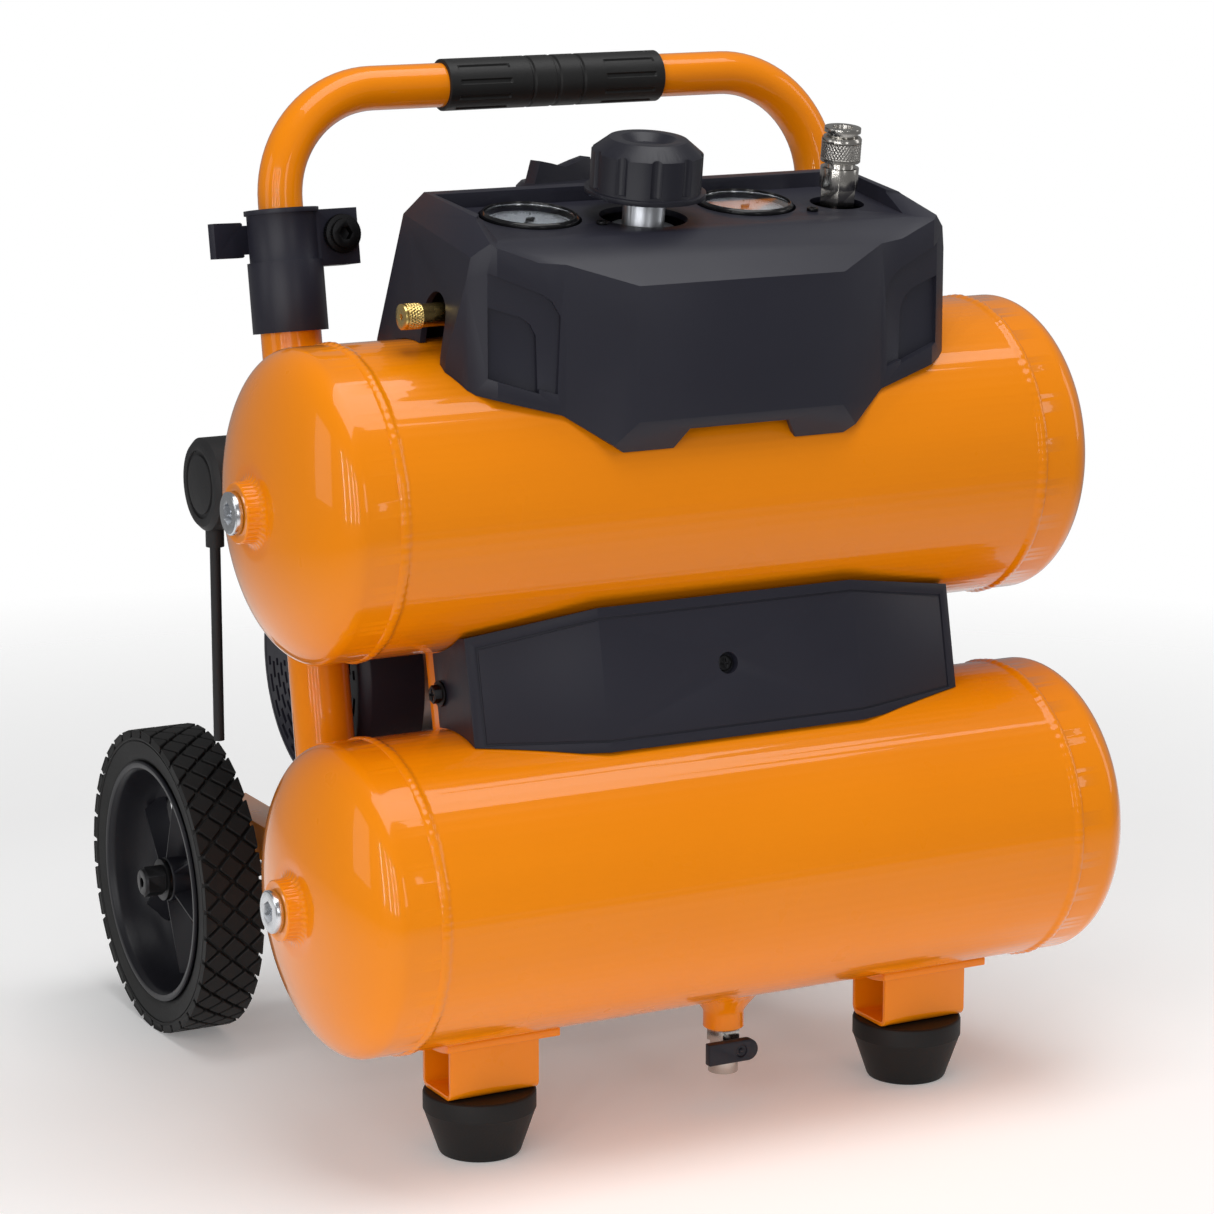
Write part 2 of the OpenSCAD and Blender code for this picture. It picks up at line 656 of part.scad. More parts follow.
module crankcases() color(alloy) translate([0, pump_y, pump_z]) both() difference() {
    union() {
        translate([56 + gap, 0, 0]) along_x() cylinder(r = 50, h = 57.7);
        translate([cyl_x - 25, -36, 0]) cube([50, 72, 49.7]);
    }
    translate([60, 0, 0]) along_x() cylinder(r = 43, h = 50);
    translate([50, 0, 0]) along_x() cylinder(r = shaft_r + run, h = 80);
    translate([cyl_x, 0, 20]) cylinder(r = 23, h = 40);
}

module cylinders() color(alloy) both() translate([cyl_x, pump_y, pump_z + 50]) difference() {
    union() {
        cylinder(r = piston_r + 4.5, h = 50);
        for (z = [14 : 8 : 46]) translate([0, 0, z]) cylinder(r = piston_r + 12, h = 2.4);
    }
    translate([0, 0, -1]) cylinder(r = piston_r + run, h = 60);
}

module heads() color(alloy) both() translate([cyl_x, pump_y, head_z]) difference() {
    union() {
        translate([-42, -42, 0]) cube([84, 84, 18]);
        translate([-40, -34, 10]) cube([80, 68, 12]);
        for (y = [-34 : 8.5 : 34]) translate([-38, y - 1.5, 18]) cube([76, 3, 16]);
    }
    translate([-50, 0, 9]) along_x() cylinder(r = 6.3, h = 40);
    translate([20, 28, 9]) along_x() cylinder(r = 7.3, h = 40);
    for (x = [-36, 36], y = [-37, 37]) translate([x, y, -1]) cylinder(r = 2.5, h = 30);
}

module piston(side) color(alloy) translate([side * cyl_x, pump_y, pump_z + 68.5]) {
    cylinder(r = piston_r, h = 11);
    translate([-5, -8, -40]) cube([10, 16, 41]);
}

module left_piston() piston(-1);
module right_piston() piston(1);

// Fan covers with rings of arc slots carried on four spokes
module fan_covers() color(black) translate([0, pump_y, pump_z]) both() translate([127, 0, 0]) along_x()
    difference() {
        union() {
            cylinder(r = cowl_r, h = 37);
            translate([0, 0, 37]) cylinder(r1 = cowl_r, r2 = cowl_r - 6, h = 6);
        }
        translate([0, 0, -1]) cylinder(r = cowl_r - 3, h = 37);
        translate([0, 0, 35]) cylinder(r1 = cowl_r - 3, r2 = cowl_r - 7, h = 5);
        difference() {
            for (r = [22 : 9 : 67]) translate([0, 0, 31]) ring(r + 5.5, r, 20);
            for (a = [0, 90]) rotate([0, 0, a]) translate([-90, -5, 0]) cube([180, 10, 80]);
        }
    }

module silencers() color(black) translate([0, sil_y, sil_z]) both() difference() {
    union() {
        translate([150, 0, 0]) along_x() {
            cylinder(r1 = 36, r2 = 42, h = 6);
            translate([0, 0, 6]) cylinder(r = 42, h = 41);
            translate([0, 0, 47]) cylinder(r1 = 42, r2 = 32, h = 9);
        }
        translate([205, 0, 0]) along_x() cylinder(r = 30, h = 25);
        translate([230, 0, 0]) along_x() cylinder(r1 = 30, r2 = 27, h = 3);
        translate([112, 0, -11.7]) along_x() cylinder(r = 7, h = 40);
        translate([223, 0, -41]) cylinder(r = 6, h = 14);
        translate([223, 0, -169]) cylinder(r = 3.5, h = 140);
    }
    translate([231.5, 0, 0]) along_x() ring(22, 19, 4);
    translate([223, 0, -170]) cylinder(r = 2.3, h = 130);
}

// Crossover pipe between the heads, with the branch to the check valve
module delivery_pipe() color(alloy) translate([0, pump_y, head_z + 9]) {
    translate([-60, 0, 0]) along_x() cylinder(r = 6, h = 120);
    translate([-9, -9, -9]) cube([18, 18, 18]);
    rotate([90, 0, 0]) cylinder(r = 6, h = 30);
    translate([0, -30, 0]) rotate([90, 0, 0]) cylinder(r = 9.5, h = 12, $fn = 6);
}

module check_valve() color(brass) translate([0, low_y + 169.7, head_z + 9]) rotate([90, 0, 0]) {
    cylinder(r = 12, h = 10, $fn = 6);
    translate([0, 0, 10]) cylinder(r = 10, h = 8);
    translate([0, 0, 18]) cylinder(r = 7, h = 3);
    translate([0, 0, 20]) cylinder(r = 7, h = 12);
}

module pump_mounts() color(rubber) for (x = [-45, 45], y = [-40, 40])
    translate([x, pump_y + y, rail_z + gap]) difference() {
        cylinder(r = 12, h = 17);
        translate([0, 0, 8.5]) rotate_extrude() translate([14, 0]) circle(r = 4, $fn = 24);
    }

module pump_cradle() color(black) difference() {
    union() {
        translate([-58, pump_y - 52, rail_z + 18]) cube([116, 104, 3]);
        for (x = [-48, 42]) translate([x, pump_y - 40, rail_z + 18]) cube([6, 80, 40]);
    }
    translate([-80, pump_y, pump_z]) along_x() cylinder(r = motor_r + gap, h = 160);
}

// Reducer sleeve and split collar on top of each upright, with the lug for the clamping bolt
module clamps() color(black) for (side = [-1, 1]) on_post(side) mirror([side > 0 ? 1 : 0, 0, 0])
    difference() {
        union() {
            translate([0, 0, 189]) cylinder(r = 23.7, h = 44);
            translate([0, 0, 232]) cylinder(r = 22, h = 31.5);
            translate([0, 0, 262.5]) cylinder(r = 23.4, h = 3);
            translate([8, -14, 228.5]) cube([37, 28, 35]);
        }
        translate([0, 0, 180]) cylinder(r = post_r + gap, h = 39);
        translate([0, 0, 180]) cylinder(r = slide_r + run, h = 100);
        translate([10, -1.5, 226]) cube([40, 3, 50]);
        translate([0, -1.5, 240]) cube([30, 3, 40]);
        translate([19, -5, 213.5]) cube([10, 10, 15.1]);
        translate([lug_x, 30, clamp_z]) rotate([90, 0, 0]) cylinder(r = 4, h = 60);
    }

module clamp_nuts() color(black) for (side = [-1, 1]) on_post(side) mirror([side > 0 ? 1 : 0, 0, 0])
    translate([lug_x, 0, clamp_z]) rotate([90, 0, 0]) {
        translate([0, 0, 14 + gap]) difference() {
            union() {
                cylinder(r = 11.8, h = 4.5);
                cylinder(r = 9, h = 8);
            }
            translate([0, 0, 2]) cylinder(r = 4.6, h = 8, $fn = 6);
        }
        translate([0, 0, -26]) cylinder(r = 3.6, h = 41);
        translate([0, -12, -23]) rotate([-90, 0, 0]) cylinder(r = 2 - run, h = 24);
    }

// Cam lever behind the lug; its blade curls round the back of the tube
module lever(side) color(black) on_post(side) mirror([side > 0 ? 1 : 0, 0, 0]) difference() {
    union() {
        translate([lug_x, 23, clamp_z - 12]) cylinder(r = 8.5, h = 24);
        translate([-18, 25.5, clamp_z - 8]) cube([55, 5, 18]);
        translate([-18, 28, clamp_z - 9.5]) cylinder(r = 2.5, h = 21);
        translate([-18, 28, clamp_z - 10]) rotate([0, 0, 205]) translate([0, -2.5, 0]) cube([25, 5, 22]);
    }
    translate([lug_x - 5, 10, clamp_z - 5]) cube([20, 30, 10]);
    translate([lug_x, 23, clamp_z - 20]) cylinder(r = 2, h = 40);
}

module left_lever() lever(-1);
module right_lever() lever(1);

// One bent tube: both legs, both bends and the bar
module handle_bar(r, reach) {
    both() translate([up_x, 0, -reach]) cylinder(r = r, h = bar_h - bend_r + reach);
    both() translate([up_x - bend_r, 0, bar_h - bend_r]) rotate([90, 0, 0])
        rotate_extrude(angle = 90, $fn = 96) translate([bend_r, 0]) circle(r = r, $fn = 32);
    translate([-up_x + bend_r, 0, bar_h]) along_x() cylinder(r = r, h = 2 * (up_x - bend_r));
}

module handle() color(paint) on_post(0) difference() {
    handle_bar(slide_r, 80);
    handle_bar(slide_r - tube_wall, 81);
}

module grip() color(rubber) on_post(0) translate([-grip_half, 0, bar_h]) along_x() difference() {
    cylinder(r = 16.5, h = 2 * grip_half);
    translate([0, 0, -1]) cylinder(r = slide_r + run, h = 2 * grip_half + 2);
    for (x = [-18, 0, 18]) translate([0, 0, grip_half + x]) ring(20, 15.6, 2);
}

lower_tank();
upper_tank();
tank_plugs();
tank_ties();
link_pipe();
foot_brackets();
left_foot();
right_foot();
left_upright();
right_upright();
left_rail();
right_rail();
pump_deck();
axle();
axle_nuts();
left_tyre();
left_rim();
right_tyre();
right_rim();
console_shell();
panel_screws();
gauge_cups();
gauge_dials();
gauge_lenses();
left_needle();
right_needle();
manifold();
regulator_body();
regulator_knob();
coupler_body();
coupler_sleeve();
relief_valve();
pressure_switch();
switch_knob();
mid_cover();
cover_screws();
terminal_box();
cable_gland();
drain_valve();
drain_lever();
motor_housing();
rotor();
fans();
crankcases();
cylinders();
heads();
left_piston();
right_piston();
fan_covers();
silencers();
delivery_pipe();
check_valve();
pump_mounts();
pump_cradle();
clamps();
left_lever();
right_lever();
clamp_nuts();
handle();
grip();
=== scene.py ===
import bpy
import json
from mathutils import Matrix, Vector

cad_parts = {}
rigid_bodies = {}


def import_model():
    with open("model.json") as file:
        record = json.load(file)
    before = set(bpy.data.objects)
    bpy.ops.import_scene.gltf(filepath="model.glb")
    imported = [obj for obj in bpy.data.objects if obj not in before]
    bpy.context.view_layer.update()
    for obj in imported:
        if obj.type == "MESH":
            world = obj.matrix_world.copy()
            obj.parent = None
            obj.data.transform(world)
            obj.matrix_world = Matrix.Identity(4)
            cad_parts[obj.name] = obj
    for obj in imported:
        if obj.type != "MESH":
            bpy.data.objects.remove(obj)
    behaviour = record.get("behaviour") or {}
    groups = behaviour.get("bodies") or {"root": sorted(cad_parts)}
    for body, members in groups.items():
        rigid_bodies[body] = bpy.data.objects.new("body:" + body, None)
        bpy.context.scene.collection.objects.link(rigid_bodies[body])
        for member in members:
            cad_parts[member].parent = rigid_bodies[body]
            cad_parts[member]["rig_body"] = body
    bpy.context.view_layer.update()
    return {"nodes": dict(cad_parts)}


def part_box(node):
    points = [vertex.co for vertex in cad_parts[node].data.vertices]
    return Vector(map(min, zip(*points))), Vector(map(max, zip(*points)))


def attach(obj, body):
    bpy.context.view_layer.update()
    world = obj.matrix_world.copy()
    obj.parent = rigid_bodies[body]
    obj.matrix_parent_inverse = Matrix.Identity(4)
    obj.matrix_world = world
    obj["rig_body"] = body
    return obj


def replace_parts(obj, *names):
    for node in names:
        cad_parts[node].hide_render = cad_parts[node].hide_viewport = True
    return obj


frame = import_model()

import json
import math

import bmesh
import bpy
from mathutils import Matrix, Vector

nodes = frame["nodes"]

# Camera, floor and light.
# The compressor stands in a white studio: a pale floor, a large soft box overhead,
# and a row of upright strip lights on the left that the glossy domes reflect.
camera = bpy.data.objects.new("camera", bpy.data.cameras.new("camera"))
bpy.context.scene.collection.objects.link(camera)
camera.location = (-1.180, -2.2737, 0.854)
look_down, look_right = 12.32, 27.82
camera.rotation_euler = (math.radians(90 - look_down), 0, math.radians(-look_right))
camera.data.lens = 119.24
camera.data.sensor_width = 36
camera.data.clip_start = 0.05
bpy.context.scene.camera = camera

# The floor fades out round the machine, so that no edge or horizon shows.
floor_half, fade_start, fade_end = 3, 0.7, 1.5
floor_mesh = bpy.data.meshes.new("floor")
floor_corners = [(x * floor_half, y * floor_half, 0) for x, y in ((-1, -1), (1, -1), (1, 1), (-1, 1))]
floor_mesh.from_pydata(floor_corners, [], [(0, 1, 2, 3)])
floor = bpy.data.objects.new("floor", floor_mesh)
bpy.context.scene.collection.objects.link(floor)
floor_paint = bpy.data.materials.new("pale_floor")
floor_paint.use_nodes = True
floor_tree = floor_paint.node_tree
floor_shader = floor_tree.nodes["Principled BSDF"]
floor_shader.inputs["Base Color"].default_value = (0.93, 0.93, 0.93, 1)
floor_shader.inputs["Roughness"].default_value = 0.6
floor_shader.inputs["Emission Color"].default_value = (1, 1, 1, 1)
floor_shader.inputs["Emission Strength"].default_value = 0.16
floor_place = floor_tree.nodes.new("ShaderNodeTexCoord")
floor_reach = floor_tree.nodes.new("ShaderNodeVectorMath")
floor_reach.operation = "LENGTH"
floor_fade = floor_tree.nodes.new("ShaderNodeMapRange")
floor_fade.inputs["From Min"].default_value = fade_start
floor_fade.inputs["From Max"].default_value = fade_end
floor_clear = floor_tree.nodes.new("ShaderNodeBsdfTransparent")
floor_mix = floor_tree.nodes.new("ShaderNodeMixShader")
floor_tree.links.new(floor_place.outputs["Object"], floor_reach.inputs[0])
floor_tree.links.new(floor_reach.outputs["Value"], floor_fade.inputs["Value"])
floor_tree.links.new(floor_fade.outputs["Result"], floor_mix.inputs[0])
floor_tree.links.new(floor_shader.outputs[0], floor_mix.inputs[1])
floor_tree.links.new(floor_clear.outputs[0], floor_mix.inputs[2])
floor_tree.links.new(floor_mix.outputs[0], floor_tree.nodes["Material Output"].inputs[0])
floor_mesh.materials.append(floor_paint)

# The air is white where the camera sees it, and dimmer as a light.
air_glow = 0.24
world = bpy.data.worlds.new("studio")
world.use_nodes = True
air = world.node_tree.nodes["Background"]
air.inputs[0].default_value = (1.0, 1.0, 1.0, 1)
sight = world.node_tree.nodes.new("ShaderNodeLightPath")
reach = world.node_tree.nodes.new("ShaderNodeMapRange")
reach.inputs["To Min"].default_value = air_glow
reach.inputs["To Max"].default_value = 1.0
world.node_tree.links.new(sight.outputs["Is Camera Ray"], reach.inputs["Value"])
world.node_tree.links.new(reach.outputs["Result"], air.inputs[1])
bpy.context.scene.world = world
bpy.context.scene.view_settings.view_transform = "Standard"


def soft_box(name, place, aim, size, power):
    """A rectangular lamp in watts, turned towards a point."""
    lamp = bpy.data.lights.new(name, "AREA")
    lamp.shape = "RECTANGLE"
    lamp.size, lamp.size_y = size
    lamp.energy = power
    holder = bpy.data.objects.new(name, lamp)
    bpy.context.scene.collection.objects.link(holder)
    holder.location = place
    holder.rotation_euler = (Vector(aim) - Vector(place)).to_track_quat("-Z", "Y").to_euler()


soft_box("top_box", (0.2, -0.5, 2.8), (0, 0, 0.3), (2.4, 1.6), 45)
soft_box("front_box", (0.12, -3.2, 1.15), (0, 0, 0.35), (0.5, 1.1), 6)
soft_box("right_box", (2.6, -0.9, 1.3), (0, 0, 0.35), (0.7, 1.8), 8)
soft_box("left_box", (-2.9, 0.3, 1.2), (0, 0, 0.35), (1.0, 1.8), 8)
for step in range(4):
    strip_place = (-2.15 + 0.24 * step, -1.0 - 0.42 * step, 0.95)
    soft_box("strip%d" % step, strip_place, (-0.1, 0, 0.32), (0.06, 1.5), 5)


# Tanks.
# Each tank is a rolled steel shell with a dished end welded on at each side, a threaded
# boss welded into each end, and sprayed with gloss enamel after welding.
class Value:
    """A shader socket that Python arithmetic works on."""

    def __init__(self, tree, socket):
        self.tree, self.socket = tree, socket

    def maths(self, operation, *rest):
        """One Math node on this value and any others."""
        node = self.tree.nodes.new("ShaderNodeMath")
        node.operation = operation
        for slot, thing in zip(node.inputs, (self,) + rest):
            join(self.tree, slot, thing)
        return Value(self.tree, node.outputs[0])

    def __add__(self, other):
        return self.maths("ADD", other)

    def __mul__(self, other):
        return self.maths("MULTIPLY", other)

    def __sub__(self, other):
        return self.maths("SUBTRACT", other)

    def __rsub__(self, other):
        return (self * -1.0).maths("ADD", other)

    def __gt__(self, other):
        return self.maths("GREATER_THAN", other)

    def __lt__(self, other):
        return self.maths("LESS_THAN", other)

    __radd__ = __add__
    __rmul__ = __mul__


def join(tree, slot, thing):
    """Links a value to a node's socket, or sets the socket to a number or a colour."""
    if isinstance(thing, Value):
        tree.links.new(thing.socket, slot)
    elif isinstance(thing, (tuple, list)) and slot.type == "RGBA":
        slot.default_value = (*thing[:3], 1)
    else:
        slot.default_value = thing


class Finish:
    """One material: a Principled shader and the pattern that feeds it."""

    def __init__(self, name, **fixed):
        self.material = bpy.data.materials.new(name)
        self.material.use_nodes = True
        self.tree = self.material.node_tree
        self.shader = self.tree.nodes["Principled BSDF"]
        for key, number in fixed.items():
            self.shader.inputs[key.replace("_", " ")].default_value = number
        self.place = self.add("ShaderNodeTexCoord", out="Object")

    def add(self, kind, settings=None, out=0, **sockets):
        """Any node: its type, its settings, then its sockets by name, or by number as i6."""
        node = self.tree.nodes.new(kind)
        for key, setting in (settings or {}).items():
            setattr(node, key, setting)
        for key, thing in sockets.items():
            numbered = key[0] == "i" and key[1:].isdigit()
            join(self.tree, node.inputs[int(key[1:]) if numbered else key], thing)
        return Value(self.tree, node.outputs[out])

    def noise(self, scale, detail=2.0, rough=0.5):
        return self.add("ShaderNodeTexNoise", None, "Fac", Vector=self.place, Scale=scale,
                        Detail=detail, Roughness=rough)

    def ramp(self, value, low, high):
        """0 below low, 1 above high."""
        stops = {"From Min": low, "From Max": high}
        return self.add("ShaderNodeMapRange", None, "Result", Value=value, **stops)

    def blend(self, share, one, other):
        return self.add("ShaderNodeMix", {"data_type": "RGBA"}, 2, Factor=share, i6=one, i7=other)

    def parts(self):
        """X, Y and Z on the piece."""
        node = self.tree.nodes.new("ShaderNodeSeparateXYZ")
        self.tree.links.new(self.place.socket, node.inputs[0])
        return [Value(self.tree, socket) for socket in node.outputs]

    def bump(self, height, depth, under=None):
        normal = {"Normal": under} if under else {}
        return self.add("ShaderNodeBump", None, 0, Height=height, Distance=depth, **normal)

    def feed(self, **links):
        for key, value in links.items():
            self.tree.links.new(value.socket, self.shader.inputs[key.replace("_", " ")])
        return self.material


def enamel(name):
    """Gloss enamel: slow drifts of colour, a fine orange peel and a few dust nibs under a clear shine."""
    paint = Finish(name, Coat_Weight=1.0, Coat_Roughness=0.03, Coat_IOR=1.32, Specular_IOR_Level=0.1)
    broad = paint.noise(7, 3)
    peel = paint.noise(240, 2)
    specks = paint.ramp(paint.noise(1500, 1), 0.74, 0.8)
    colour = paint.blend(broad, (0.86, 0.240, 0.001), (0.92, 0.266, 0.001))
    colour = paint.blend(specks * 0.25, colour, (0.35, 0.09, 0.004))
    normal = paint.bump(peel, 0.00005, paint.bump(broad, 0.0004))
    rough = 0.24 + 0.1 * paint.noise(30, 3) + 0.1 * specks
    return paint.feed(Base_Color=colour, Roughness=rough, Normal=normal)


orange = enamel("orange_enamel")


def piece(name, mesh, body, material, crease=32, place=None):
    """Puts a mesh in the scene as one named piece on a body, in a material slot."""
    mesh.materials.clear()
    mesh.materials.append(material)
    mesh.shade_smooth()
    mesh.set_sharp_from_angle(angle=math.radians(crease))
    made = bpy.data.objects.new(name, mesh)
    bpy.context.scene.collection.objects.link(made)
    if place:
        made.matrix_world = place
    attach(made, body)
    return made


def turned(name, outline, segments=96, place=(0, 0, 0), turn=None, ripple=None, closed=True):
    """A mesh swept about Z from an outline of (radius, height), then turned and placed.

    ripple(radius, height, angle) adds to the radius.
    """
    points, faces, rows = [], [], len(outline)
    for k in range(segments):
        angle = 2 * math.pi * k / segments
        for radius, height in outline:
            r = radius + (ripple(radius, height, angle) if ripple else 0)
            points.append((r * math.cos(angle), r * math.sin(angle), height))
    last = rows if closed else rows - 1
    for k in range(segments):
        nxt = (k + 1) % segments
        for j in range(last):
            up = (j + 1) % rows
            faces.append((k * rows + j, nxt * rows + j, nxt * rows + up, k * rows + up))
    mesh = bpy.data.meshes.new(name)
    mesh.from_pydata(points, [], faces)
    shape = bmesh.new()
    shape.from_mesh(mesh)
    bmesh.ops.remove_doubles(shape, verts=shape.verts, dist=1e-6)
    bmesh.ops.recalc_face_normals(shape, faces=shape.faces)
    shape.to_mesh(mesh)
    shape.free()
    mesh.transform(Matrix.Translation(place) @ (turn or Matrix.Identity(4)))
    return mesh


def tank(node):
    """The shell with its domes, seam beads and bosses, turned in one piece. Gives back its axis."""
    low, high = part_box(node)
    radius, bead = 0.095, 0.0016
    axis = Vector((0, (low.y + high.y) / 2, high.z - radius - bead))
    half, depth, boss = 0.2425, 0.0355, 0.287
    side = [(0.0104, boss - 0.012), (0.0104, boss - 0.0005), (0.0110, boss), (0.0178, boss),
            (0.0185, boss - 0.0008), (0.0185, boss - 0.007), (0.0192, boss - 0.0092),
            (0.0215, boss - 0.0106), (0.0240, boss - 0.0108)]
    for k in range(1, 33):
        t = math.radians(90 - 75 * (k / 32) ** 0.9)
        r = radius * math.cos(t)
        if r > 0.0262:
            side.append((r, half + depth * math.sin(t)))
    for k in range(1, 13):
        t = math.radians(15 * (1 - k / 12))
        side.append((radius * math.cos(t), half + depth * math.sin(t)))
    seam = [(radius, 0.2236), (radius + 0.0006, 0.2230), (radius + 0.0012, 0.2218), (radius + 0.0014, 0.2205),
            (radius + 0.0013, 0.2190), (radius + 0.0008, 0.2178), (radius + 0.0001, 0.2168), (radius, 0.2150)]
    side += seam
    outline = side + [(r, -x) for r, x in reversed(side)]

    def ripple(r, x, angle):
        """The uneven beads of the weld at each seam and round each boss."""
        wave = 0
        if r > radius and 0.2165 < abs(x) < 0.2235:
            wave = 0.0002 * math.sin(angle * 110 + 3 * math.sin(angle * 7)) + 0.00015 * math.sin(angle * 23)
        if 0.0187 < r < 0.0245:
            wave = 0.0003 * math.sin(angle * 34)
        if abs(r - 0.0185) < 1e-5 and abs(x) < boss - 0.005:
            wave = 0.0002 * math.sin(angle * 34)
        return wave

    shell = turned(node + "_shell", outline, 384, axis, Matrix.Rotation(math.pi / 2, 4, "Y"), ripple, False)
    made = piece(node + "_shell", shell, "frame", orange, 40)
    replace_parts(made, node)
    return axis


low_axis = tank("lower_tank")
tank("upper_tank")


# Drain boss.
# A socket of steel welded under the lower tank with a wide fillet, threaded for the drain
# valve and painted with the tank.
valve_x = (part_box("drain_valve")[0].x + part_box("drain_valve")[1].x) / 2
boss_foot = low_axis.z - 0.118
boss_outline = [(0.0066, 0.02), (0.0066, 0.0008), (0.0074, 0), (0.0118, 0), (0.0130, 0.0010),
                (0.0130, 0.0105), (0.0136, 0.0125), (0.0165, 0.0165), (0.0200, 0.0212), (0.0225, 0.0238),
                (0.0245, 0.0250), (0.0252, 0.0256), (0.0252, 0.0280), (0.0066, 0.0280)]
drain_boss = turned("drain_boss", boss_outline, 96, (valve_x, low_axis.y, boss_foot), None,
                    lambda r, h, a: 0.0003 * math.sin(a * 30) if r > 0.017 and h < 0.026 else 0)
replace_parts(piece("drain_boss", drain_boss, "frame", orange), "lower_tank")


# Welded frame: ties, link pipe, foot brackets, uprights, rails and the sliding handle.
# Tube and folded sheet, deburred, welded to the tanks and sprayed with them.
def eased(node, width, material, rows=2, angle=28, crease=32):
    """The node's own shape with its keen edges rounded, as a new piece in its place."""
    mesh = nodes[node].data.copy()
    shape = bmesh.new()
    shape.from_mesh(mesh)
    bmesh.ops.remove_doubles(shape, verts=shape.verts, dist=2e-6)
    bmesh.ops.dissolve_limit(shape, angle_limit=math.radians(0.6), verts=shape.verts, edges=shape.edges)
    if width:
        keen = [e for e in shape.edges if len(e.link_faces) == 2
                and e.calc_face_angle(0) > math.radians(angle)]
        bmesh.ops.bevel(shape, geom=keen, offset=width, segments=rows, profile=0.5, affect="EDGES",
                        clamp_overlap=True, miter_outer="ARC")
    shape.to_mesh(mesh)
    shape.free()
    for name in [a.name for a in mesh.attributes if a.name == "custom_normal"]:
        mesh.attributes.remove(mesh.attributes[name])
    made = piece(node + "_eased", mesh, nodes[node]["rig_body"], material, crease)
    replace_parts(made, node)


def dress(material, *names):
    """Gives nodes that stay as they are their material."""
    for name in names:
        nodes[name].data.materials.clear()
        nodes[name].data.materials.append(material)


eased("foot_brackets", 0.0006, orange)
eased("left_rail", 0.0008, orange)
eased("right_rail", 0.0008, orange)
eased("tank_ties", 0.0008, orange)
dress(orange, "link_pipe", "left_upright", "right_upright", "handle")


# Tank plugs.
# Turned steel plugs with a hexagon socket, plated bright zinc and sealed under the flange.
def plated(name, colour, rough, streak=0.0):
    """Bare or plated metal with a cloudy shade, a fine grain and scuffs."""
    metal = Finish(name, Metallic=1.0)
    cloud = metal.noise(60, 4)
    fine = metal.noise(900, 2)
    shade = metal.blend(cloud, colour, tuple(0.86 * c for c in colour))
    scuff = metal.ramp(metal.noise(160, 5, 0.7), 0.55, 0.75)
    normal = metal.bump(fine, 0.00002 + streak, metal.bump(cloud, 0.00006))
    return metal.feed(Base_Color=shade, Roughness=rough + 0.12 * cloud + 0.12 * scuff, Normal=normal)


bright_zinc = plated("bright_zinc", (0.74, 0.76, 0.79), 0.16)
eased("tank_plugs", 0.0005, bright_zinc)


# Rubber feet.
# Moulded rubber buffers with an upper band and a tapering body, bolted up into the brackets.
def rubber(name, shade, rough, grain):
    """Dull black rubber with a fine grain and a little dust."""
    skin = Finish(name, Specular_IOR_Level=0.3)
    cloud = skin.noise(35, 4)
    fine = skin.noise(grain, 3)
    dust = skin.ramp(skin.noise(180, 5, 0.75), 0.6, 0.8)
    colour = skin.blend(cloud, (shade, shade, shade * 1.04), (shade * 1.5, shade * 1.5, shade * 1.5))
    colour = skin.blend(dust * 0.25, colour, (shade * 4, shade * 3.9, shade * 3.8))
    normal = skin.bump(fine, 0.00008, skin.bump(cloud, 0.0002))
    return skin.feed(Base_Color=colour, Roughness=rough + 0.14 * cloud + 0.1 * dust, Normal=normal)


foot_rubber = rubber("foot_rubber", 0.0062, 0.5, 700)
foot_outline = [(0.0042, 0.0400), (0.0042, 0.0250), (0.0042, 0.0008), (0.0052, 0), (0.0238, 0),
                (0.0248, 0.0004), (0.0256, 0.0016), (0.0345, 0.0276), (0.0350, 0.0284), (0.0350, 0.0380),
                (0.0346, 0.0392), (0.0336, 0.0400)]
for foot in ("left_foot", "right_foot"):
    low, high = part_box(foot)
    stand = Matrix.Translation(((low.x + high.x) / 2, (low.y + high.y) / 2, 0))
    mesh = turned(foot + "_buffer", foot_outline, 128)
    made = piece(foot + "_buffer", mesh, "frame", foot_rubber, 30, stand)
    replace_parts(made, foot)
eased("pump_mounts", 0.0004, foot_rubber)


# Wheels: tyres.
# Solid rubber tyres with a tread of diamond blocks that break over both shoulders,
# smooth side walls and a fine moulded ring near their outer edge.
tyre_rubber = rubber("tyre_rubber", 0.0065, 0.55, 500)


def solid_of(name, points, faces):
    """A mesh of the faces, all turned outwards."""
    mesh = bpy.data.meshes.new(name)
    mesh.from_pydata(points, [], faces)
    shape = bmesh.new()
    shape.from_mesh(mesh)
    bmesh.ops.recalc_face_normals(shape, faces=shape.faces)
    shape.to_mesh(mesh)
    shape.free()
    return mesh


